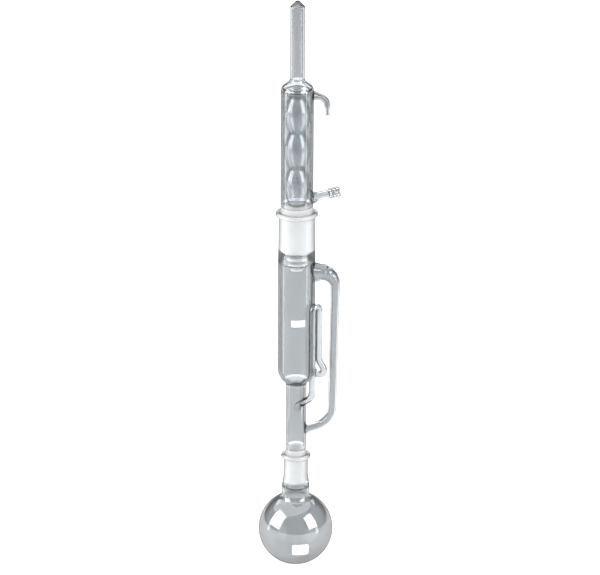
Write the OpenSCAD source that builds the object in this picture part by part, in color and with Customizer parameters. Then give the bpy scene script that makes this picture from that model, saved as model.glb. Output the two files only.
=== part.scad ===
// Soxhlet extraction apparatus in clear laboratory glass: a round flask, a siphoning
// extractor and a bulb condenser. The three lift apart at two ground joints, and each one
// is fused together from the separate blanks that are the modules below.
// Millimetres, +Z up. The origin is the lowest point of the flask, on the common axis.
// The vapour arm and both hose ends are on the +X side.

/* [Flask] */
// Outside diameter of the round bulb
flask_d = 70.4; // [68:0.4:72]
// Wall thickness of the flask
flask_wall = 1.6; // [1.4:0.1:2]
// Outside diameter of the throat above the bulb
throat_d = 26.2; // [25:0.2:27]
// Blend radius between the bulb and the throat
throat_blend = 7; // [4:0.5:7]
// Height of the flask's rim above its lowest point
flask_rim_z = 112.3; // [110:0.1:116]

/* [Ground joints] */
// Bore of the flask's ground socket at its rim
lower_joint_d = 18.8; // [18.6:0.1:19]
// Ground length of the flask's socket
lower_joint_len = 29; // [24:0.5:30]
// Bore of the extractor's ground socket at its rim
upper_joint_d = 29.2; // [29:0.1:29.4]
// Ground length of the extractor's socket
upper_joint_len = 37.5; // [36:0.5:39]
// Radial running clearance between a cone and its socket
joint_gap = 0.03; // [0.02:0.01:0.05]

/* [Extractor] */
// Outside diameter of the thimble chamber
chamber_d = 34.4; // [34:0.1:35]
// Wall thickness of the extractor
extractor_wall = 1.5; // [1.4:0.1:1.6]
// Height at which the chamber's round bottom starts
chamber_base_z = 198.4; // [196:0.1:200]
// Height of the extractor's rim
extractor_rim_z = 353.4; // [353:0.1:358]
// Outside diameter of the stem below the chamber
stem_d = 19.6; // [19:0.1:20]
// Outside diameter of the siphon tube
siphon_d = 6.4; // [6.2:0.1:6.5]
// Height of the siphon's crown above the base, which sets the charge it holds
siphon_top_z = 260; // [250:0.5:262]
// Angle from the vapour arm round to the siphon's rising leg
siphon_turn = 24; // [22:1:28]
// Angle from the siphon's rising leg on to its falling leg
siphon_spread = 20; // [19:0.5:22]
// Distance from the common axis to the top of the vapour arm's long leg
arm_reach = 35.9; // [35:0.1:38]
// Outside diameter of the vapour arm's long leg
arm_d = 8.2; // [8:0.1:8.6]

/* [Condenser] */
// Outside diameter of the cooling jacket
jacket_d = 30; // [29.6:0.1:30.8]
// Wall thickness of the condenser
condenser_wall = 1.4; // [1.3:0.1:1.5]
// Number of bulbs on the inner tube
bulb_count = 3; // [2:1:4]
// Outside diameter of each bulb at its widest
bulb_d = 23.6; // [20:0.2:24.4]
// Outside diameter of the necks between bulbs
neck_d = 14.4; // [13:0.2:15]
// Height at which the jacket's shoulder starts
shoulder_z = 469.6; // [465:0.1:474]
// Outside diameter of the vent tube
vent_d = 13.2; // [12.8:0.1:13.6]
// Height of the vent tube's tip, which is the overall height
vent_tip_z = 552.8; // [545:0.1:560]

/* [Hidden] */
$fn = 72;

CLEAR = [0.78, 0.83, 0.84, 0.55];
WHITE = "white";
// A 1:10 taper on the diameter moves a joint's radius by this much per unit of height
TAPER = 1 / 20;
// How far a cutting shape runs past the face that it cuts
PAST = 1;
// Half the height, and twice the proud edge, of the weld ring between a tube's segments
WELD = 0.04;
// Points along each computed curve
CURVE_STEPS = 16;

// Flask
flask_r = flask_d / 2;
throat_r = throat_d / 2;
throat_top_z = 79;
flask_socket_r = 11.45;
flask_bead_r = 14;
bead_round = 2.2;

// Lower cone
lower_cone_top_z = flask_rim_z + 1.8;
lower_cone_end_z = 80;
stem_foot_z = flask_rim_z + 5.5;

// Extractor
chamber_r = chamber_d / 2;
chamber_bore_r = chamber_r - extractor_wall;
socket_foot_z = 304.5;
extractor_socket_r = 16.8;
extractor_bead_r = 19.6;
stem_r = stem_d / 2;
stem_bore_r = stem_r - extractor_wall;
stem_blend = 3;

// Vapour arm, from the chamber over and down to the stem
arm_r = arm_d / 2;
arm_wall = 1.2;
arm_top_z = 294;
arm_root_r = 10.4;
arm_elbow_r = 7.6;
arm_neck_r = 4.5;
arm_neck_len = 16;
arm_lean = 1;
arm_foot_z = 136.5;
arm_foot_slope = 20;
arm_foot_bend_r = 21;
arm_start = chamber_r - 5;
// The elbow narrows in steps: each one bends a little, and a short cone leads to the next
elbow_steps = 5;
elbow_cone = 1.7;
elbow_bend_r = 8.6;
elbow_angle = (90 + arm_lean) / elbow_steps;
elbow_dx = elbow_bend_r * cos(arm_lean)
    + elbow_cone * sum([for (k = [1:elbow_steps - 1]) cos(k * elbow_angle)]);
elbow_dz = elbow_bend_r * (1 + sin(arm_lean))
    + elbow_cone * sum([for (k = [1:elbow_steps - 1]) sin(k * elbow_angle)]);
arm_root_len = arm_reach - elbow_dx - arm_start;
// The leg's length puts the foot of the arm on the stem at arm_foot_z
arm_foot_x = arm_reach - arm_foot_bend_r * (cos(arm_lean) - sin(arm_foot_slope));
arm_drop = arm_top_z - arm_foot_z - elbow_dz
    - arm_foot_bend_r * (cos(arm_foot_slope) - sin(arm_lean))
    - (arm_foot_x - stem_r) * tan(arm_foot_slope);
arm_leg = arm_drop / (cos(arm_lean) - sin(arm_lean) * tan(arm_foot_slope));
arm_foot_len = (arm_foot_x - arm_leg * sin(arm_lean)) / cos(arm_foot_slope);

// Siphon: its rising leg is in one upright plane through the common axis, and its falling
// leg in another, so that the falling leg clears the outlet that feeds the rising one
siphon_r = siphon_d / 2;
siphon_wall = 1;
riser_x = 23;
outlet_z = 199.5;
outlet_slope = 50;
outlet_x = 11;
loop_r = 5.3;
loop_lean = 35;
loop_reach = 28;
ease_r = 8;
loop_centre_x = loop_reach - loop_r;
outlet_len = (loop_centre_x - loop_r * sin(outlet_slope) - outlet_x) / cos(outlet_slope);
loop_top_x = loop_centre_x + loop_r * cos(loop_lean);
lean_len = (loop_top_x - riser_x - ease_r * (1 - cos(loop_lean))) / sin(loop_lean);
loop_centre_z = outlet_z - (loop_centre_x - loop_r * sin(outlet_slope) - chamber_r) * tan(outlet_slope)
    + loop_r * cos(outlet_slope);
riser_foot_z = loop_centre_z + (loop_r + ease_r) * sin(loop_lean) + lean_len * cos(loop_lean);
return_x = chamber_r + siphon_r + 0.3;
crown_dx = riser_x - return_x * cos(siphon_spread);
crown_dy = return_x * sin(siphon_spread);
crown_r = norm([crown_dx, crown_dy]) / 2;
crown_turn = atan2(crown_dy, crown_dx);
return_foot_z = 180.5;
return_bend_r = 12;
return_turn = 55;
return_run = 14;
tip_bend_r = 5;
tip_turn = 40;
tip_len = 2;
bridge_z = 222;
bridge_r = 1.6;

// Condenser
jacket_r = jacket_d / 2;
jacket_bore_r = jacket_r - condenser_wall;
upper_cone_top_z = extractor_rim_z + 2.2;
jacket_foot_z = extractor_rim_z + 5.6;
upper_cone_end_z = extractor_rim_z - upper_joint_len;
floor_rise = 2;
bulb_foot_z = jacket_foot_z + floor_rise;
bulb_top_z = shoulder_z - 6.6;
neck_r = neck_d / 2;
inner_wall = 1.1;
drip_top_r = 10.4;
drip_r = 5.4;
drip_ripples = 3;
drip_ripple = 0.35;
drip_end_z = 296.4;
drip_cut = 30;
shoulder_round = 5;
shoulder_slope = 46;
vent_r = vent_d / 2;
vent_foot_z = shoulder_z + 10.5;
vent_tip_len = 5;
vent_hole_r = 1.2;

// Hose ends
hose_wall = 1.2;
inlet_z = 367;
inlet_slope = 14;
inlet_r = 3.9;
inlet_root_r = 5.3;
inlet_root_len = 7;
inlet_reach = 39.6;
barb_r = 5;
barb_count = 3;
barb_pitch = 3.6;
barb_rise = 0.6;
barb_land = 1.2;
// The water outlet is turned back, and its nozzle leans out, so that a hose can hang straight down
outlet_hose_turn = 14;
outlet_hose_z = 463.2;
outlet_hose_slope = 15;
outlet_hose_r = 2.9;
outlet_root_r = 5.2;
outlet_root_x = jacket_r - 4;
outlet_bend_r = 9.5;
nozzle_lean = 3;
nozzle_x = 28.3;
nozzle_cone = 2.5;
nozzle_r = 2.1;
nozzle_len = 6.5;
nozzle_lap = 1;
// The sloping root ends where the bend must start for the nozzle to start at nozzle_x
outlet_root_len = (nozzle_x - nozzle_cone * sin(nozzle_lean) - outlet_root_x
    - outlet_bend_r * (cos(nozzle_lean) - sin(outlet_hose_slope))) / cos(outlet_hose_slope);

function sum(list, i = 0) = i < len(list) ? list[i] + sum(list, i + 1) : 0;

// Points of an arc in the outline plane, from angle a0 to angle a1
function arc(x, z, r, a0, a1, steps = CURVE_STEPS) = [
    for (i = [0:steps])
        let (a = a0 + (a1 - a0) * i / steps)
        [x + r * cos(a), z + r * sin(a)]
];

// Height of the centre of a blend circle that touches a ball and a tube outside it
function blend_rise(ball_r, tube_r, blend_r) =
    sqrt(pow(ball_r + blend_r, 2) - pow(tube_r + blend_r, 2));

// Solid ball of radius ball_r at the origin, blended into a tube that rises to top
module ball_and_throat(ball_r, tube_r, blend_r, top) {
    rise = blend_rise(ball_r, tube_r, blend_r);
    turn = atan2(rise, tube_r + blend_r);
    sphere(r = ball_r);
    rotate_extrude()
        polygon(concat(
            [[0, 0], [ball_r * cos(turn) / 2, ball_r * sin(turn) / 2]],
            arc(tube_r + blend_r, rise, blend_r, 180 + turn, 180),
            [[tube_r, top], [0, top]]
        ));
}

// Ground socket: a tube with a tapered bore, a beaded rim and a wider foot
module ground_socket(rim_z, mouth_r, ground_len, tube_r, bead_r, foot_r, foot_bore_r, foot_z) {
    small_r = mouth_r - ground_len * TAPER;
    rotate_extrude()
        union() {
            polygon([
                [foot_bore_r, foot_z],
                [foot_r, foot_z],
                [tube_r, rim_z - ground_len * 0.75],
                [tube_r, rim_z - bead_round],
                [bead_r - bead_round, rim_z],
                [mouth_r, rim_z],
                [small_r, rim_z - ground_len],
                [foot_bore_r, foot_z + 0.6]
            ]);
            translate([bead_r - bead_round, rim_z - bead_round])
                circle(r = bead_round);
        }
}

// Solid tube that runs along +Z from the origin through a list of segments.
// ["run", length, start radius, end radius] is straight,
// ["turn", bend radius, angle, tube radius] bends towards +X, or towards -X below zero, and
// ["roll", angle] turns the plane of the bends after it about the tube's own axis.
// A fifth value in a run is how far it also reaches back into the wider cone before it.
module tube_run(segments, inset = 0, i = 0) {
    if (i < len(segments)) {
        s = segments[i];
        start_r = s[0] == "run" ? s[2] : s[3];
        lap = len(s) > 4 ? s[4] : 0;
        // A thin weld ring laps each other segment onto the one before it
        if (i > 0 && s[0] != "roll" && lap == 0)
            translate([0, 0, -WELD])
                cylinder(r = start_r - inset + WELD / 2, h = 2 * WELD);
        if (s[0] == "roll") {
            rotate([0, 0, s[1]])
                tube_run(segments, inset, i + 1);
        } else if (s[0] == "run") {
            translate([0, 0, -lap])
                cylinder(r1 = s[2] - inset, r2 = s[3] - inset, h = s[1] + lap);
            translate([0, 0, s[1]])
                tube_run(segments, inset, i + 1);
        } else {
            side = sign(s[2]);
            translate([side * s[1], 0, 0])
                rotate([90, 0, side > 0 ? 180 : 0])
                    mirror([0, 0, side > 0 ? 0 : 1])
                        rotate_extrude(angle = abs(s[2]))
                            translate([s[1], 0])
                                circle(r = s[3] - inset);
            translate([side * s[1] * (1 - cos(s[2])), 0, s[1] * abs(sin(s[2]))])
                rotate([0, s[2], 0])
                    tube_run(segments, inset, i + 1);
        }
    }
}

// Flask ---------------------------------------------------------------

module flask_bulb() {
    color(CLEAR)
        translate([0, 0, flask_r])
            difference() {
                ball_and_throat(flask_r, throat_r, throat_blend, throat_top_z - flask_r);
                ball_and_throat(flask_r - flask_wall, throat_r - flask_wall,
                    throat_blend + flask_wall, throat_top_z - flask_r + PAST);
            }
}

module flask_socket() {
    color(CLEAR)
        ground_socket(flask_rim_z, lower_joint_d / 2, lower_joint_len, flask_socket_r,
            flask_bead_r, throat_r, throat_r - flask_wall, throat_top_z);
}

// Matt white writing patch fired onto the front of the bulb
module flask_label() {
    patch_w = 15.6;
    patch_h = 12;
    patch_below = 14;
    patch_round = 8;
    corner = 2;
    enamel = 0.2;
    color(WHITE)
        translate([0, 0, flask_r])
            intersection() {
                difference() {
                    sphere(r = flask_r + enamel);
                    sphere(r = flask_r);
                }
                rotate([90 + patch_below, 0, patch_round])
                    linear_extrude(flask_d)
                        rounded_rect(patch_w, patch_h, corner);
            }
}

module rounded_rect(w, h, corner) {
    square([w - 2 * corner, h], center = true);
    square([w, h - 2 * corner], center = true);
    for (x = [-1, 1], y = [-1, 1])
        translate([x * (w / 2 - corner), y * (h / 2 - corner)])
            circle(r = corner);
}

// Extractor -----------------------------------------------------------

module extractor_cone() {
    top_r = lower_joint_d / 2 - joint_gap + (lower_cone_top_z - flask_rim_z) * TAPER;
    ground_end_z = flask_rim_z - lower_joint_len + 0.8;
    end_r = lower_joint_d / 2 - joint_gap - (flask_rim_z - ground_end_z) * TAPER;
    lip_r = 6.9;
    color(CLEAR)
        rotate_extrude()
            polygon([
                [lip_r - extractor_wall, lower_cone_end_z],
                [lip_r, lower_cone_end_z],
                [end_r - 0.3, ground_end_z - 2],
                [end_r, ground_end_z],
                [top_r, lower_cone_top_z],
                [stem_r, stem_foot_z],
                [stem_bore_r, stem_foot_z],
                [top_r - extractor_wall, lower_cone_top_z],
                [end_r - extractor_wall, ground_end_z]
            ]);
}

// Tube from the cone to the chamber's bottom, which closes its top
module stem_tube() {
    rise = blend_rise(chamber_r, stem_r, stem_blend);
    turn = atan2(rise, stem_r + stem_blend);
    color(CLEAR)
        difference() {
            rotate_extrude()
                polygon(concat(
                    [[stem_bore_r, stem_foot_z], [stem_r, stem_foot_z]],
                    arc(stem_r + stem_blend, chamber_base_z - rise, stem_blend, 180, 180 - turn),
                    [[stem_bore_r, chamber_base_z]]
                ));
            chamber_outside();
            vapour_arm_path(arm_wall);
            siphon_return_path(0);
        }
}

// Everything inside the chamber's outer surface
module chamber_outside() {
    translate([0, 0, chamber_base_z]) {
        sphere(r = chamber_r);
        cylinder(r = chamber_r, h = socket_foot_z - chamber_base_z);
    }
}

// Round-bottomed tube that holds the thimble and fills until the siphon trips
module thimble_chamber() {
    color(CLEAR)
        difference() {
            chamber_outside();
            translate([0, 0, chamber_base_z]) {
                sphere(r = chamber_bore_r);
                cylinder(r = chamber_bore_r, h = socket_foot_z - chamber_base_z + PAST);
            }
            vapour_arm_path(arm_wall);
            siphon_riser_path(siphon_wall);
        }
}

module extractor_socket() {
    color(CLEAR)
        ground_socket(extractor_rim_z, upper_joint_d / 2, upper_joint_len, extractor_socket_r,
            extractor_bead_r, chamber_r, chamber_bore_r, socket_foot_z);
}

// Small white patch fired onto the front of the chamber
module chamber_label() {
    patch_w = 13;
    patch_h = 6.4;
    patch_z = 249;
    patch_round = 6;
    corner = 0.8;
    enamel = 0.15;
    color(WHITE)
        intersection() {
            difference() {
                cylinder(r = chamber_r + enamel, h = socket_foot_z);
                translate([0, 0, -PAST])
                    cylinder(r = chamber_r, h = socket_foot_z + 2 * PAST);
            }
            translate([0, 0, patch_z])
                rotate([90, 0, patch_round])
                    linear_extrude(chamber_d)
                        rounded_rect(patch_w, patch_h, corner);
        }
}

// Tube radius after step k of the vapour arm's elbow, where step -1 is the root
function elbow_r(k) =
    k < 0 ? arm_root_r : arm_elbow_r + (arm_neck_r - arm_elbow_r) * k / (elbow_steps - 1);

module vapour_arm_path(inset) {
    elbow = [
        for (k = [0:elbow_steps - 1])
            each [
                ["run", k == 0 ? arm_root_len : elbow_cone, elbow_r(k - 1), elbow_r(k)],
                ["turn", elbow_bend_r, elbow_angle, elbow_r(k)]
            ]
    ];
    translate([arm_start, 0, arm_top_z])
        rotate([0, 90, 0])
            tube_run(concat(elbow, [
                ["run", arm_neck_len, arm_neck_r, arm_r],
                ["run", arm_leg - arm_neck_len, arm_r, arm_r],
                ["turn", arm_foot_bend_r, 90 - arm_foot_slope - arm_lean, arm_r],
                ["run", arm_foot_len, arm_r, arm_r]
            ]), inset);
}

// Tube that carries vapour past the chamber, from the stem to the chamber's top
module vapour_arm() {
    color(CLEAR)
        difference() {
            vapour_arm_path(0);
            vapour_arm_path(arm_wall);
            chamber_outside();
            translate([0, 0, stem_foot_z])
                cylinder(r = stem_r, h = chamber_base_z - stem_foot_z);
        }
}

// Upright plane of the siphon's rising leg
module siphon_plane() {
    rotate([0, 0, -siphon_turn])
        children();
}

// Low outlet, loop and rising leg, up to the crown of the siphon
module siphon_riser_path(inset) {
    outlet_rise = (chamber_r - outlet_x) * tan(outlet_slope);
    siphon_plane()
        translate([outlet_x, 0, outlet_z + outlet_rise])
            rotate([0, 90 + outlet_slope, 0])
                tube_run([
                    ["run", outlet_len, siphon_r, siphon_r],
                    ["turn", loop_r, -(90 + outlet_slope + loop_lean), siphon_r],
                    ["run", lean_len, siphon_r, siphon_r],
                    ["turn", ease_r, loop_lean, siphon_r],
                    ["run", siphon_top_z - riser_foot_z, siphon_r, siphon_r]
                ], inset);
}

module siphon_riser() {
    color(CLEAR)
        difference() {
            siphon_riser_path(0);
            siphon_riser_path(siphon_wall);
            chamber_outside();
        }
}

// Crown, falling leg and the drip tip that hangs inside the stem
module siphon_return_path(inset) {
    siphon_plane()
        translate([riser_x, 0, siphon_top_z])
            rotate([0, 0, crown_turn])
                tube_run([
                    ["turn", crown_r, -180, siphon_r],
                    ["roll", crown_turn + siphon_spread],
                    ["run", siphon_top_z - return_foot_z, siphon_r, siphon_r],
                    ["turn", return_bend_r, return_turn, siphon_r],
                    ["run", return_run, siphon_r, siphon_r],
                    ["turn", tip_bend_r, -tip_turn, siphon_r],
                    ["run", tip_len, siphon_r, siphon_r - 0.4]
                ], inset);
}

module siphon_return() {
    color(CLEAR)
        difference() {
            siphon_return_path(0);
            siphon_return_path(siphon_wall);
        }
}

// Short glass strut that steadies the siphon's rising leg against the chamber
module siphon_bridge() {
    color(CLEAR)
        difference() {
            siphon_plane()
                translate([chamber_r - PAST, 0, bridge_z])
                    rotate([0, 90, 0])
                        cylinder(r = bridge_r, h = riser_x - chamber_r + PAST);
            chamber_outside();
            siphon_plane()
                translate([riser_x, 0, bridge_z - 2 * bridge_r])
                    cylinder(r = siphon_r, h = 4 * bridge_r);
        }
}

// Condenser -----------------------------------------------------------

// Ground cone with the floor of the water space above it
module condenser_cone() {
    top_r = upper_joint_d / 2 - joint_gap + (upper_cone_top_z - extractor_rim_z) * TAPER;
    end_r = upper_joint_d / 2 - joint_gap - upper_joint_len * TAPER;
    color(CLEAR)
        rotate_extrude()
            polygon([
                [end_r - condenser_wall, upper_cone_end_z],
                [end_r, upper_cone_end_z],
                [top_r, upper_cone_top_z],
                [jacket_r, jacket_foot_z],
                [jacket_bore_r, jacket_foot_z],
                [neck_r, bulb_foot_z],
                [neck_r - inner_wall, bulb_foot_z],
                [neck_r - inner_wall, bulb_foot_z - condenser_wall],
                [top_r - 2 * condenser_wall, jacket_foot_z - condenser_wall],
                [top_r - condenser_wall, upper_cone_top_z - condenser_wall]
            ]);
}

// Radius of the drip funnel at fraction t of the way down, with the ripples of its drawing
function drip_radius(t) =
    drip_top_r + (drip_r - drip_top_r) * t + drip_ripple * cos(360 * drip_ripples * t);

// Funnel that draws the cone in to a slanted tip over the thimble
module condenser_drip_tip() {
    root_r = upper_joint_d / 2 - joint_gap - upper_joint_len * TAPER;
    top_z = upper_cone_end_z - 2.5;
    steps = drip_ripples * 12;
    drop = (top_z - drip_end_z) / steps;
    color(CLEAR)
        difference() {
            rotate_extrude()
                polygon(concat(
                    [
                        [root_r - condenser_wall, upper_cone_end_z],
                        [root_r, upper_cone_end_z],
                        [root_r - 0.4, upper_cone_end_z - 1.2]
                    ],
                    [for (i = [0:steps]) [drip_radius(i / steps), top_z - i * drop]],
                    [
                        for (i = [steps:-1:0])
                            [drip_radius(i / steps) - condenser_wall, top_z - i * drop]
                    ],
                    [[root_r - condenser_wall - 0.4, upper_cone_end_z - 1.2]]
                ));
            translate([drip_r, 0, drip_end_z])
                rotate([0, -drip_cut, 0])
                    translate([-5 * drip_r, -2 * drip_r, -5 * drip_r])
                        cube([5 * drip_r, 4 * drip_r, 5 * drip_r]);
        }
}

// Outer tube of the water space
module cooling_jacket() {
    color(CLEAR)
        difference() {
            translate([0, 0, jacket_foot_z])
                cylinder(r = jacket_r, h = shoulder_z - jacket_foot_z);
            translate([0, 0, jacket_foot_z - PAST])
                cylinder(r = jacket_bore_r, h = shoulder_z - jacket_foot_z + 2 * PAST);
            water_inlet_bore();
            water_outlet_path(hose_wall);
        }
}

// Sloping shoulder from the jacket in to the vent tube, rounded at its foot
module jacket_shoulder() {
    round_x = jacket_r - shoulder_round;
    outside = concat(
        arc(round_x, shoulder_z, shoulder_round, 6, shoulder_slope),
        [[vent_r + 1.3, vent_foot_z - 2.6], [vent_r + 0.4, vent_foot_z - 1.2], [vent_r, vent_foot_z]]
    );
    inside = concat(
        [
            [vent_r - condenser_wall, vent_foot_z],
            [vent_r - condenser_wall + 0.3, vent_foot_z - 1.6],
            [vent_r - condenser_wall + 1.1, vent_foot_z - 3.2]
        ],
        arc(round_x, shoulder_z, shoulder_round - condenser_wall, shoulder_slope, 6)
    );
    color(CLEAR)
        rotate_extrude()
            polygon(concat(
                [[jacket_r, shoulder_z]],
                outside,
                inside,
                [[jacket_bore_r, shoulder_z]]
            ));
}

// Bulb profile: the outer radius at height z, from neck to neck
function bulb_radius(z) =
    let (pitch = (bulb_top_z - bulb_foot_z) / bulb_count)
    let (t = (z - bulb_foot_z) / pitch)
    neck_r + (bulb_d / 2 - neck_r) * pow(abs(sin(180 * t)), 0.8);

// Inner tube blown into bulbs, flared at the top to close the water space
module bulb_tube() {
    steps = bulb_count * 20;
    rise = (bulb_top_z - bulb_foot_z) / steps;
    seal_h = 1.5;
    flare_z = shoulder_z - seal_h;
    outside = [
        for (i = [0:steps])
            [bulb_radius(bulb_foot_z + i * rise), bulb_foot_z + i * rise]
    ];
    inside = [
        for (i = [steps:-1:0])
            [bulb_radius(bulb_foot_z + i * rise) - inner_wall, bulb_foot_z + i * rise]
    ];
    color(CLEAR)
        rotate_extrude()
            polygon(concat(
                outside,
                [
                    [jacket_bore_r - 1.5, flare_z - 1],
                    [jacket_bore_r, flare_z],
                    [jacket_bore_r, shoulder_z],
                    [jacket_bore_r - 2, shoulder_z],
                    [neck_r + 1, bulb_top_z + 1.2]
                ],
                inside
            ));
}

module water_inlet_place() {
    translate([jacket_r, 0, inlet_z])
        rotate([0, 90 - inlet_slope, 0])
            children();
}

module water_inlet_bore() {
    water_inlet_place()
        translate([0, 0, -inlet_root_r])
            cylinder(r = inlet_r - hose_wall, h = inlet_reach);
}

// Outline of one barb that starts at height z along the hose end
function barb(z) = [[inlet_r, z], [barb_r, z + barb_rise], [barb_r, z + barb_rise + barb_land]];

// Barbed hose end near the jacket's foot, where cooling water enters
module water_inlet() {
    run = (inlet_reach - jacket_r) / cos(inlet_slope);
    barbs_z = run - barb_count * barb_pitch;
    color(CLEAR)
        difference() {
            water_inlet_place()
                rotate_extrude()
                    polygon(concat(
                        [
                            [0, -inlet_r],
                            [inlet_root_r + 1, -inlet_r],
                            [inlet_root_r, 0],
                            [inlet_r + 0.3, inlet_root_len * 0.6],
                            [inlet_r, inlet_root_len]
                        ],
                        [for (i = [0:barb_count - 1], p = barb(barbs_z + i * barb_pitch)) p],
                        [[inlet_r, run], [0, run]]
                    ));
            water_inlet_bore();
            translate([0, 0, jacket_foot_z])
                cylinder(r = jacket_r, h = shoulder_z - jacket_foot_z);
        }
}

module water_outlet_path(inset) {
    root_rise = (jacket_r - outlet_root_x) * tan(outlet_hose_slope);
    rotate([0, 0, outlet_hose_turn])
        translate([outlet_root_x, 0, outlet_hose_z + root_rise])
            rotate([0, 90 + outlet_hose_slope, 0])
                tube_run([
                    ["run", outlet_root_len, outlet_root_r, outlet_hose_r],
                    ["turn", outlet_bend_r, 90 - outlet_hose_slope - nozzle_lean, outlet_hose_r],
                    ["run", nozzle_cone, outlet_hose_r, nozzle_r],
                    ["run", nozzle_len, nozzle_r, nozzle_r, nozzle_lap]
                ], inset);
}

// Hooked hose end under the shoulder, where cooling water leaves
module water_outlet() {
    color(CLEAR)
        difference() {
            water_outlet_path(0);
            water_outlet_path(hose_wall);
            translate([0, 0, jacket_foot_z])
                cylinder(r = jacket_r, h = shoulder_z - jacket_foot_z);
        }
}

// Open tube above the shoulder, drawn in at its mouth
module vent_tube() {
    tip_foot_z = vent_tip_z - vent_tip_len;
    color(CLEAR)
        rotate_extrude()
            polygon([
                [vent_r, vent_foot_z],
                [vent_r, tip_foot_z],
                [vent_hole_r + 0.6, vent_tip_z],
                [vent_hole_r, vent_tip_z],
                [vent_hole_r, vent_tip_z - 1],
                [vent_r - condenser_wall, tip_foot_z - 0.6],
                [vent_r - condenser_wall, vent_foot_z]
            ]);
}

flask_bulb();
flask_socket();
flask_label();
extractor_cone();
stem_tube();
thimble_chamber();
extractor_socket();
chamber_label();
vapour_arm();
siphon_riser();
siphon_return();
siphon_bridge();
condenser_cone();
condenser_drip_tip();
cooling_jacket();
jacket_shoulder();
bulb_tube();
water_inlet();
water_outlet();
vent_tube();
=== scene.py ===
"""Looks for a glass Soxhlet extraction apparatus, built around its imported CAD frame."""

import math

import bpy
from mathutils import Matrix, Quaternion, Vector


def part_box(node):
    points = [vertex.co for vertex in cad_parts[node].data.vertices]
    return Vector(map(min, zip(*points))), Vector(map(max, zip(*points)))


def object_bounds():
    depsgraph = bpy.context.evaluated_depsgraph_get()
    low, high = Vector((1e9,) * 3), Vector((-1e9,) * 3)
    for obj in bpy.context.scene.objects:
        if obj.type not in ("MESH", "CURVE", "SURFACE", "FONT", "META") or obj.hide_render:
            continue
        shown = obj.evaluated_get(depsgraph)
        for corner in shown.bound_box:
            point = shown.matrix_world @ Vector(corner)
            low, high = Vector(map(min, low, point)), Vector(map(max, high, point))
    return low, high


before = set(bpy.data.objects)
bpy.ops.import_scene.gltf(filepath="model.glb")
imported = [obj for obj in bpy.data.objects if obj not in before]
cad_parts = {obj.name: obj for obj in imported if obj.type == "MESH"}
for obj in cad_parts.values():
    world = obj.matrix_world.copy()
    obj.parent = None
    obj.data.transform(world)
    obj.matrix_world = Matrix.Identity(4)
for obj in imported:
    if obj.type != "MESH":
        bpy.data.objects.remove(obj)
cad_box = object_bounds()

MM = 0.001

# Ground joints: heights come from the frame, and the taper is the standard 1 in 10 on the diameter
TAPER = 1 / 20
FLASK_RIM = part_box("flask_socket")[1].z
EXTRACTOR_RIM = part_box("extractor_socket")[1].z
LOWER_MOUTH = 9.4 * MM
UPPER_MOUTH = 14.6 * MM
STEM_RADIUS = 9.8 * MM
CHAMBER_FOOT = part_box("thimble_chamber")[0].z + 3 * MM
CONE_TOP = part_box("stem_tube")[0].z
WATER_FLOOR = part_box("cooling_jacket")[0].z
DRIP_FOOT, DRIP_TOP = (corner.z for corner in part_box("condenser_drip_tip"))
LOWER_GROUND = 29 * MM
UPPER_GROUND = 37.5 * MM
BEAD = 4.4 * MM
BORE_MARGIN = 0.7 * MM

# Glass: a tint multiplies the light that a wall lets through; the FAR and EDGE values are painted shade,
# on a tube's far wall and towards the outline
GLASS_IOR = 1.47
CLEAR_TINT = 0.95
TUBE_FAR_SHADE = 0.52
TUBE_EDGE_SHADE = 0.2
FINE_FAR_SHADE = 0.68
FINE_EDGE_SHADE = 0.45
FINE_SHINE = 1.5
INSET_SHINE = 5.0
# Half height of each band of painted light at a fused joint
LIGHT_BAND = 3 * MM

# Frost: the brightness of a ground face
FROST_WHITE = 0.72
CONE_WHITE = 0.62
# Painted highlight: the drip tip's rings are a whiter frost than a ground face
DRIP_RING_HIGHLIGHT = 0.96
DRIP_RIPPLES = 3


# Node helpers -----------------------------------------------------------------

def new_material(name):
    """An empty node material and its tree."""
    material = bpy.data.materials.new(name)
    material.use_nodes = True
    material.node_tree.nodes.clear()
    return material, material.node_tree


def add(tree, kind, values=None, **settings):
    """Adds a node; values maps input names or numbers to constants or sockets."""
    item = tree.nodes.new(kind)
    for name, value in settings.items():
        setattr(item, name, value)
    for key, value in (values or {}).items():
        if isinstance(value, bpy.types.NodeSocket):
            tree.links.new(value, item.inputs[key])
        else:
            item.inputs[key].default_value = value
    return item


def math_node(tree, operation, a, b=0.0):
    return add(tree, "ShaderNodeMath", {0: a, 1: b}, operation=operation).outputs[0]


def place(tree):
    """The point being shaded, its height and its distance from the common axis, as at rest."""
    point = add(tree, "ShaderNodeTexCoord").outputs["Object"]
    split = add(tree, "ShaderNodeSeparateXYZ", {0: point})
    flat = add(tree, "ShaderNodeVectorMath", {0: point, 1: (1, 1, 0)}, operation="MULTIPLY")
    radius = add(tree, "ShaderNodeVectorMath", {0: flat.outputs[0]}, operation="LENGTH")
    return point, split.outputs["Z"], radius.outputs["Value"]


def ramp(tree, factor, *stops):
    """Colour ramp with (position, grey or colour) stops."""
    item = add(tree, "ShaderNodeValToRGB", {0: factor})
    elements = item.color_ramp.elements
    while len(elements) < len(stops):
        elements.new(0.5)
    for element, (position, colour) in zip(elements, stops):
        element.position = position
        element.color = (*colour, 1) if isinstance(colour, tuple) else (colour, colour, colour, 1)
    return item.outputs["Color"]


def cool(grey):
    """A grey with the faint blue of the glass."""
    return (grey, grey * 1.017, grey * 1.028)


def noise(tree, point, scale, detail=3.0):
    return add(
        tree, "ShaderNodeTexNoise", {"Vector": point, "Scale": scale, "Detail": detail}
    ).outputs["Fac"]


def bump(tree, height, distance, strength=1.0):
    return add(
        tree, "ShaderNodeBump", {"Height": height, "Distance": distance, "Strength": strength}
    ).outputs["Normal"]


def output(tree, shader):
    add(tree, "ShaderNodeOutputMaterial", {"Surface": shader})


# Materials --------------------------------------------------------------------

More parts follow.
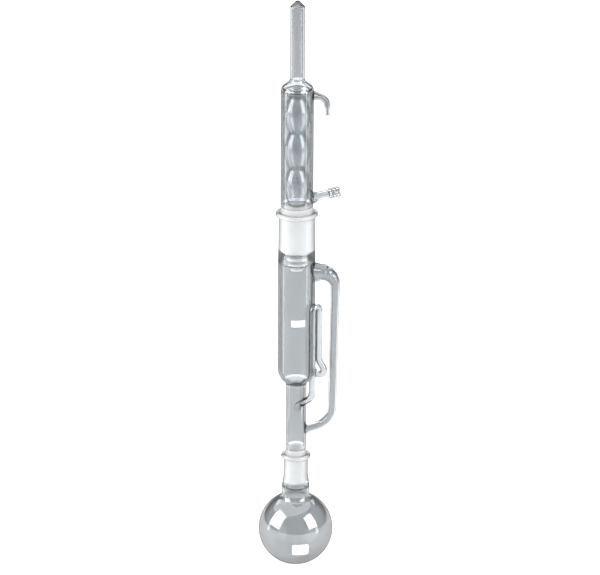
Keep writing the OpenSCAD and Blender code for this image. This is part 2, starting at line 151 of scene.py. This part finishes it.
def clear_shader(tree, point, far_shade, edge_shade, shine=1.0):
    """Drawn borosilicate glass with a faint waviness, and painted shade that darkens it where it is seen
    edge-on.

    The far-wall value is painted shade that darkens only the far wall of a tube, so that what is inside
    the tube stays bright; the edge value is painted shade towards the outline.
    shine scales the reflections, for blown shapes that carry strong highlights. Light on its way
    to something else passes straight through, as it does through thin glass.
    """
    path = add(tree, "ShaderNodeLightPath")
    far = math_node(tree, "GREATER_THAN", path.outputs["Transmission Depth"], 1.5)
    facing = add(tree, "ShaderNodeLayerWeight", {"Blend": 0.5}).outputs["Facing"]
    # Painted shade: the wall colour darkens towards the outline, and the far wall of a tube is darker all
    # over
    near_wall = ramp(tree, facing, (0.35, cool(CLEAR_TINT)), (0.68, cool(edge_shade)))
    far_wall = ramp(tree, facing, (0.35, cool(far_shade)), (0.68, cool(edge_shade)))
    tint_and_shade = add(tree, "ShaderNodeMixRGB", {0: far, 1: near_wall, 2: far_wall}).outputs[0]
    # Painted shade: the reflection colour darkens towards the outline
    mirror_edge_shade = ramp(tree, facing, (0.4, 1.0), (0.8, 0.12))
    waves = noise(tree, point, 60.0, 1.0)
    smears = noise(tree, point, 220.0, 4.0)
    rough = ramp(tree, smears, (0.35, 0.0), (0.8, 0.03))
    normal = bump(tree, waves, 0.03 * MM)
    bent = add(
        tree,
        "ShaderNodeBsdfRefraction",
        {"Color": tint_and_shade, "Roughness": rough, "IOR": GLASS_IOR, "Normal": normal},
    ).outputs[0]
    mirror = add(
        tree,
        "ShaderNodeBsdfAnisotropic",
        {"Color": mirror_edge_shade, "Roughness": rough, "Normal": normal},
    ).outputs[0]
    fresnel = add(tree, "ShaderNodeFresnel", {"IOR": GLASS_IOR, "Normal": normal}).outputs[0]
    share = add(tree, "ShaderNodeMath", {0: fresnel, 1: shine}, operation="MULTIPLY", use_clamp=True)
    glass = add(tree, "ShaderNodeMixShader", {0: share.outputs[0], 1: bent, 2: mirror}).outputs[0]
    straight = add(tree, "ShaderNodeBsdfTransparent", {"Color": (0.9, 0.9, 0.9, 1)}).outputs[0]
    return add(
        tree, "ShaderNodeMixShader", {0: path.outputs["Is Shadow Ray"], 1: glass, 2: straight}
    ).outputs[0]


def frost_shader(tree, point, white):
    """Ground face: a fine white scatter that still lets some light through."""
    grain = noise(tree, point, 2500.0, 2.0)
    bands = noise(tree, point, 90.0, 2.0)
    flat = ramp(tree, bands, (0.3, white), (0.7, white + 0.03))
    # Painted shade: ground glass greys towards its outline, which sets a lifted cone off from a white
    # wall
    facing = add(tree, "ShaderNodeLayerWeight", {"Blend": 0.5}).outputs["Facing"]
    shade = ramp(tree, facing, (0.35, 1.0), (0.9, 0.55))
    colour = add(
        tree, "ShaderNodeMixRGB", {0: 1.0, 1: flat, 2: shade}, blend_type="MULTIPLY"
    ).outputs[0]
    normal = bump(tree, grain, 0.05 * MM)
    dull = add(tree, "ShaderNodeBsdfDiffuse", {"Color": colour, "Normal": normal}).outputs[0]
    through = add(tree, "ShaderNodeBsdfTranslucent", {"Color": colour, "Normal": normal}).outputs[0]
    scatter = add(tree, "ShaderNodeMixShader", {0: 0.25, 1: dull, 2: through}).outputs[0]
    glaze = add(
        tree,
        "ShaderNodeBsdfPrincipled",
        {
            "Base Color": (0.97, 0.98, 0.98, 1),
            "Roughness": 0.55,
            "IOR": GLASS_IOR,
            "Transmission Weight": 1.0,
            "Normal": normal,
        },
    ).outputs[0]
    return add(tree, "ShaderNodeMixShader", {0: 0.12, 1: scatter, 2: glaze}).outputs[0]


def clear_glass(name, far_shade, edge_shade, shine=1.0):
    """Clear glass all over; the numbers mean what they do in clear_shader."""
    material, tree = new_material(name)
    point, _, _ = place(tree)
    output(tree, clear_shader(tree, point, far_shade, edge_shade, shine))
    return material


def lit_tip_glass(name, reach):
    """Thin tube with painted light where it is inside a wider one, nearer the axis than reach: there it
    is a paler copy with stronger reflections.
    """
    material, tree = new_material(name)
    point, _, radius = place(tree)
    outside = clear_shader(tree, point, FINE_FAR_SHADE, FINE_EDGE_SHADE, FINE_SHINE)
    # Painted light: a paler copy of the glass, without the far-wall shade
    inside = clear_shader(tree, point, CLEAR_TINT, edge_shade=0.75, shine=INSET_SHINE)
    within = math_node(tree, "LESS_THAN", radius, reach)
    output(tree, add(tree, "ShaderNodeMixShader", {0: within, 1: outside, 2: inside}).outputs[0])
    return material


def drawn_glass(name, foot, top):
    """Funnel drawn in the flame, with a painted highlight: a pale frost ring on each ripple of the
    drawing, where it catches the light.
    """
    material, tree = new_material(name)
    point, height, _ = place(tree)
    clear = clear_shader(tree, point, CLEAR_TINT, edge_shade=0.8, shine=INSET_SHINE)
    below_top = math_node(tree, "SUBTRACT", top, height)
    phase = math_node(tree, "MULTIPLY", below_top, 2 * math.pi * DRIP_RIPPLES / (top - foot))
    wave = math_node(tree, "COSINE", phase)
    # Painted highlight rings: frost goes from a tenth in the troughs to nine tenths on the crests
    amount = math_node(tree, "ADD", math_node(tree, "MULTIPLY", wave, 0.4), 0.5)
    output(tree, frosted(tree, point, clear, amount, DRIP_RING_HIGHLIGHT))
    return material


def lit_band_glass(name, *band_heights):
    """Tube glass with painted light: paler glass in a band round each height where two blanks are fused,
    reaching the band's half height above and below.
    """
    material, tree = new_material(name)
    point, height, _ = place(tree)
    dark = clear_shader(tree, point, TUBE_FAR_SHADE, TUBE_EDGE_SHADE)
    # Painted light: paler glass with a little frost near each fused joint
    clear = clear_shader(tree, point, far_shade=0.85, edge_shade=0.3, shine=1.5)
    pale = frosted(tree, point, clear, amount=0.06)
    band_mask = 0.0
    for band_height in band_heights:
        near = add(tree, "ShaderNodeMath", {0: height, 1: band_height, 2: LIGHT_BAND}, operation="COMPARE")
        band_mask = math_node(tree, "ADD", near.outputs[0], band_mask)
    output(tree, add(tree, "ShaderNodeMixShader", {0: band_mask, 1: dark, 2: pale}).outputs[0])
    return material


def frosted(tree, point, clear, amount, white=FROST_WHITE):
    """A clear shader that turns to frost by an amount from 0 to 1."""
    frost = frost_shader(tree, point, white)
    return add(tree, "ShaderNodeMixShader", {0: amount, 1: clear, 2: frost}).outputs[0]


def cone_glass(name, top):
    """Ground cone: frosted from its end up to a height, and clear above."""
    material, tree = new_material(name)
    point, height, _ = place(tree)
    clear = clear_shader(tree, point, CLEAR_TINT, edge_shade=0.6)
    ground = math_node(tree, "LESS_THAN", height, top)
    output(tree, frosted(tree, point, clear, ground, CONE_WHITE))
    return material


def socket_glass(name, rim, mouth, length):
    """Ground socket: a frosted bore in a clear wall, with a bead round its rim paled by a little frost,
    which is painted light.
    """
    material, tree = new_material(name)
    point, height, radius = place(tree)
    below_rim = math_node(tree, "SUBTRACT", rim, height)
    # Radius that the point would have at the rim if it were on the joint's taper
    at_rim = math_node(tree, "ADD", radius, math_node(tree, "MULTIPLY", below_rim, TAPER))
    bore = math_node(tree, "LESS_THAN", at_rim, mouth + BORE_MARGIN)
    above_foot = math_node(tree, "LESS_THAN", below_rim, length)
    ground = math_node(tree, "MULTIPLY", bore, above_foot)
    # Painted light: a little frost pales the bead round the rim
    bead = math_node(tree, "LESS_THAN", below_rim, BEAD)
    bead_light = math_node(tree, "MULTIPLY", bead, 0.3)
    # Below the ground part the wall has the tubes' painted shade, and in front of the frost it has less
    # painted shade and is paler
    low = clear_shader(tree, point, TUBE_FAR_SHADE, TUBE_EDGE_SHADE)
    high = clear_shader(tree, point, CLEAR_TINT, edge_shade=0.5)
    clear = add(tree, "ShaderNodeMixShader", {0: above_foot, 1: low, 2: high}).outputs[0]
    amount = math_node(tree, "MAXIMUM", ground, bead_light)
    output(tree, frosted(tree, point, clear, amount))
    return material


def white_enamel():
    """Matt white fired enamel, a little uneven in colour and gloss."""
    material, tree = new_material("white_enamel")
    point, _, _ = place(tree)
    mottle = noise(tree, point, 900.0, 4.0)
    shader = add(
        tree,
        "ShaderNodeBsdfPrincipled",
        {
            "Base Color": ramp(tree, mottle, (0.3, (0.86, 0.86, 0.84)), (0.7, (0.95, 0.95, 0.94))),
            "Roughness": ramp(tree, mottle, (0.3, 0.75), (0.7, 0.55)),
            "Normal": bump(tree, mottle, 0.04 * MM),
        },
    )
    output(tree, shader.outputs[0])
    return material


def pale_floor():
    material, tree = new_material("pale_floor")
    point = add(tree, "ShaderNodeTexCoord").outputs["Object"]
    cloud = noise(tree, point, 3.0, 2.0)
    shader = add(
        tree,
        "ShaderNodeBsdfPrincipled",
        {
            "Base Color": ramp(tree, cloud, (0.3, 0.90), (0.7, 0.92)),
            "Roughness": 0.9,
            "Specular IOR Level": 0.1,
        },
    )
    output(tree, shader.outputs[0])
    return material


def wear(node, material):
    """Gives a CAD node its finished material."""
    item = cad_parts[node]
    item.data.materials.clear()
    item.data.materials.append(material)


flask_glass = clear_glass("flask_glass", far_shade=0.5, edge_shade=0.45, shine=1.6)
tube_glass = clear_glass("tube_glass", TUBE_FAR_SHADE, TUBE_EDGE_SHADE)
fine_glass = clear_glass("fine_glass", FINE_FAR_SHADE, FINE_EDGE_SHADE, FINE_SHINE)
siphon_glass = lit_tip_glass("siphon_return_glass", STEM_RADIUS)
outlet_glass = clear_glass("outlet_glass", far_shade=0.45, edge_shade=0.15, shine=0.8)
shoulder_glass = clear_glass("shoulder_glass", far_shade=0.9, edge_shade=0.8, shine=1.5)
inner_glass = clear_glass("inner_glass", far_shade=0.97, edge_shade=0.75, shine=INSET_SHINE)
drip_glass = drawn_glass("drip_glass", DRIP_FOOT, DRIP_TOP)
stem_glass = lit_band_glass("stem_glass", CHAMBER_FOOT, CONE_TOP)
chamber_glass = lit_band_glass("chamber_glass", CHAMBER_FOOT)
jacket_glass = lit_band_glass("jacket_glass", WATER_FLOOR)
enamel = white_enamel()

wear("flask_bulb", flask_glass)
wear("stem_tube", stem_glass)
wear("thimble_chamber", chamber_glass)
wear("cooling_jacket", jacket_glass)
wear("jacket_shoulder", shoulder_glass)
wear("bulb_tube", inner_glass)
wear("condenser_drip_tip", drip_glass)
wear("water_outlet", outlet_glass)
wear("siphon_return", siphon_glass)
for name in ("vapour_arm", "vent_tube"):
    wear(name, tube_glass)
for name in ("siphon_riser", "siphon_bridge", "water_inlet"):
    wear(name, fine_glass)
for name in ("flask_label", "chamber_label"):
    wear(name, enamel)
wear("flask_socket", socket_glass("flask_socket_glass", FLASK_RIM, LOWER_MOUTH, LOWER_GROUND))
wear("extractor_cone", cone_glass("extractor_cone_glass", CONE_TOP))
wear("extractor_socket", socket_glass("extractor_socket_glass", EXTRACTOR_RIM, UPPER_MOUTH, UPPER_GROUND))
wear("condenser_cone", cone_glass("condenser_cone_glass", WATER_FLOOR))


# Stage ------------------------------------------------------------------------

def floor():
    bpy.ops.mesh.primitive_plane_add(size=14, location=(0, 0, cad_box[0].z - 0.2 * MM))
    plane = bpy.context.object
    plane.name = "floor"
    plane.data.materials.append(pale_floor())


def softbox(name, direction, distance, width, height, power):
    """Area light that faces the middle of the object from a direction."""
    middle = (cad_box[0] + cad_box[1]) / 2
    data = bpy.data.lights.new(name, "AREA")
    data.shape = "RECTANGLE"
    data.size = width
    data.size_y = height
    data.energy = power
    item = bpy.data.objects.new(name, data)
    bpy.context.scene.collection.objects.link(item)
    item.location = middle + Vector(direction).normalized() * distance
    item.rotation_euler = (middle - item.location).to_track_quat("-Z", "Y").to_euler()


def strip(name, azimuth, width):
    """Upright strip light beside the object, which draws one bright line down each tube.

    azimuth is measured from the camera: to the right for strip_right, to the left for strip_left.
    """
    reach = 0.36
    height = 0.5
    side = 1 if name == "strip_right" else -1
    turn = math.radians(azimuth)
    data = bpy.data.lights.new(name, "AREA")
    data.shape = "RECTANGLE"
    data.size = width
    data.size_y = height
    data.energy = 0.2
    item = bpy.data.objects.new(name, data)
    bpy.context.scene.collection.objects.link(item)
    item.location = (side * reach * math.sin(turn), -reach * math.cos(turn), height / 2)
    target = Vector((0, 0, height / 2))
    item.rotation_euler = (target - item.location).to_track_quat("-Z", "Y").to_euler()


def overhead(strength):
    """Wide, even light from above that keeps the floor pale out to the edges of the picture."""
    data = bpy.data.lights.new("overhead", "SUN")
    data.energy = strength
    data.angle = math.radians(90)
    item = bpy.data.objects.new("overhead", data)
    bpy.context.scene.collection.objects.link(item)
    item.rotation_euler = (math.radians(-15), math.radians(-10), 0)


def backdrop_light(power):
    """Ceiling panel over the far floor, so that the picture stays white to its top edge."""
    data = bpy.data.lights.new("backdrop_light", "AREA")
    data.shape = "RECTANGLE"
    data.size = 4.0
    data.size_y = 2.0
    data.energy = power
    item = bpy.data.objects.new("backdrop_light", data)
    bpy.context.scene.collection.objects.link(item)
    item.location = (0, 2.6, 1.8)


def camera():
    """Long lens, a little above the object and square to the arm's plane."""
    elevation = math.radians(20.5)
    roll = math.radians(0.27)
    distance = 3.0
    frame_width = 0.5556
    aim = Vector((3.2 * MM, 0, 278.7 * MM))
    data = bpy.data.cameras.new("camera")
    data.sensor_width = 36
    data.lens = data.sensor_width * distance / frame_width
    data.clip_end = 50
    item = bpy.data.objects.new("camera", data)
    bpy.context.scene.collection.objects.link(item)
    item.location = aim + Vector((0, -math.cos(elevation), math.sin(elevation))) * distance
    level = (aim - item.location).to_track_quat("-Z", "Y")
    item.rotation_euler = (level @ Quaternion((0, 0, 1), roll)).to_euler()
    bpy.context.scene.camera = item


def sky(strength):
    world = bpy.data.worlds.new("world")
    world.use_nodes = True
    world.node_tree.nodes["Background"].inputs["Color"].default_value = (0.95, 0.97, 1.0, 1)
    world.node_tree.nodes["Background"].inputs["Strength"].default_value = strength
    bpy.context.scene.world = world


floor()
softbox("softbox_left", (-0.86, -0.28, 0.42), distance=1.7, width=1.3, height=1.5, power=40)
softbox("softbox_right", (0.77, -0.48, 0.42), distance=1.9, width=1.1, height=1.5, power=36)
strip("strip_left", azimuth=89, width=0.04)
strip("strip_right", azimuth=68, width=0.05)
overhead(2.05)
backdrop_light(40)
sky(0.22)
camera()
bpy.context.scene.view_settings.view_transform = "Standard"
